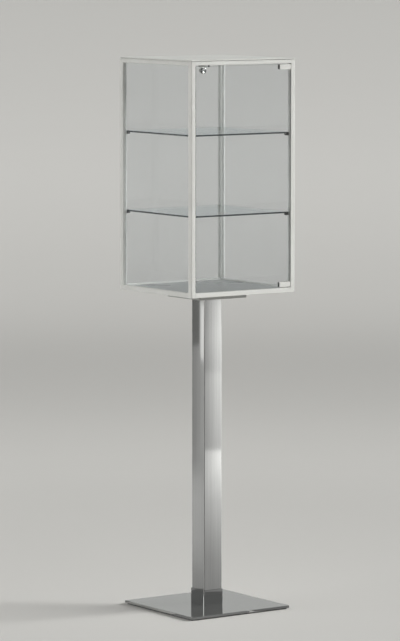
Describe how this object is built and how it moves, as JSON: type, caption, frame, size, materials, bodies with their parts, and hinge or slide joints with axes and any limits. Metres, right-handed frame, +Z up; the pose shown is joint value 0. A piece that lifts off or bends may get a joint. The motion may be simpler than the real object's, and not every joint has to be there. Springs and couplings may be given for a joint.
{
  "type": "tower display case",
  "caption": "Tall locking glass showcase with a slim off-white frame and glass shelves, on a polished square column with a flat square base plate.",
  "frame": {"origin": "centre of the square footprint, on the floor under the base pad", "axes": "+Z up; the glass door is the front and faces -Y; the door hinges at the +X side and its lock is at the -X side"},
  "size_m": [0.4, 0.4, 1.765],
  "materials": {
    "frame_white": "satin",
    "clear_glass": "polished",
    "polished_steel": "polished",
    "dark_steel": "satin",
    "floor_grey": "satin",
    "black_plastic": "satin",
    "grey_nylon": "matte",
    "seal_white": "matte",
    "zinc_steel": "satin",
    "lock_chrome": "polished",
    "pad_rubber": "matte"
  },
  "bodies": {
    "cabinet": {"base_pad": "pad_rubber", "base_plate": "polished_steel", "base_bolt": "zinc_steel", "column_foot": "dark_steel", "column": "polished_steel", "base_collar": "polished_steel", "head_pan": "dark_steel", "head_bolt_front_left": "zinc_steel", "head_bolt_front_right": "zinc_steel", "head_bolt_back_left": "zinc_steel", "head_bolt_back_right": "zinc_steel", "post_front_left": "frame_white", "post_front_right": "frame_white", "post_back_left": "frame_white", "post_back_right": "frame_white", "rail_front_bottom": "frame_white", "rail_back_bottom": "frame_white", "rail_left_bottom": "frame_white", "rail_right_bottom": "frame_white", "rail_front_top": "frame_white", "rail_back_top": "frame_white", "rail_left_top": "frame_white", "rail_right_top": "frame_white", "connector_front_left_bottom": "grey_nylon", "connector_front_right_bottom": "grey_nylon", "connector_back_left_bottom": "grey_nylon", "connector_back_right_bottom": "grey_nylon", "connector_front_left_top": "grey_nylon", "connector_front_right_top": "grey_nylon", "connector_back_left_top": "grey_nylon", "connector_back_right_top": "grey_nylon", "floor_panel": "floor_grey", "top_panel": "frame_white", "pane_left": "clear_glass", "pane_right": "clear_glass", "pane_back": "clear_glass", "shelf_lower": "clear_glass", "shelf_upper": "clear_glass", "support_lower_front_left": "black_plastic", "support_lower_front_right": "black_plastic", "support_lower_back_left": "black_plastic", "support_lower_back_right": "black_plastic", "support_upper_front_left": "black_plastic", "support_upper_front_right": "black_plastic", "support_upper_back_left": "black_plastic", "support_upper_back_right": "black_plastic", "door_seal": "seal_white", "strike_plate": "zinc_steel", "door_bumper": "black_plastic", "hinge_pin_bottom": "zinc_steel", "hinge_pin_top": "zinc_steel"},
    "door": {"door_glass": "clear_glass", "hinge_clamp_bottom": "frame_white", "hinge_clamp_top": "frame_white", "lock_body": "lock_chrome", "lock_nut": "zinc_steel"},
    "lock_barrel": {"lock_plug": "lock_chrome", "lock_cam": "zinc_steel", "cam_screw": "zinc_steel"}
  },
  "joints": [
    {"name": "door_swing", "type": "hinge", "parent": "cabinet", "child": "door", "pos_m": [0.176, -0.195, 1.3937], "axis": [0, 0, 1], "range_deg": [0, 100]},
    {"name": "lock_turn", "type": "hinge", "parent": "door", "child": "lock_barrel", "pos_m": [-0.151, -0.195, 1.7322], "axis": [0, -1, 0], "range_deg": [0, 90]}
  ]
}
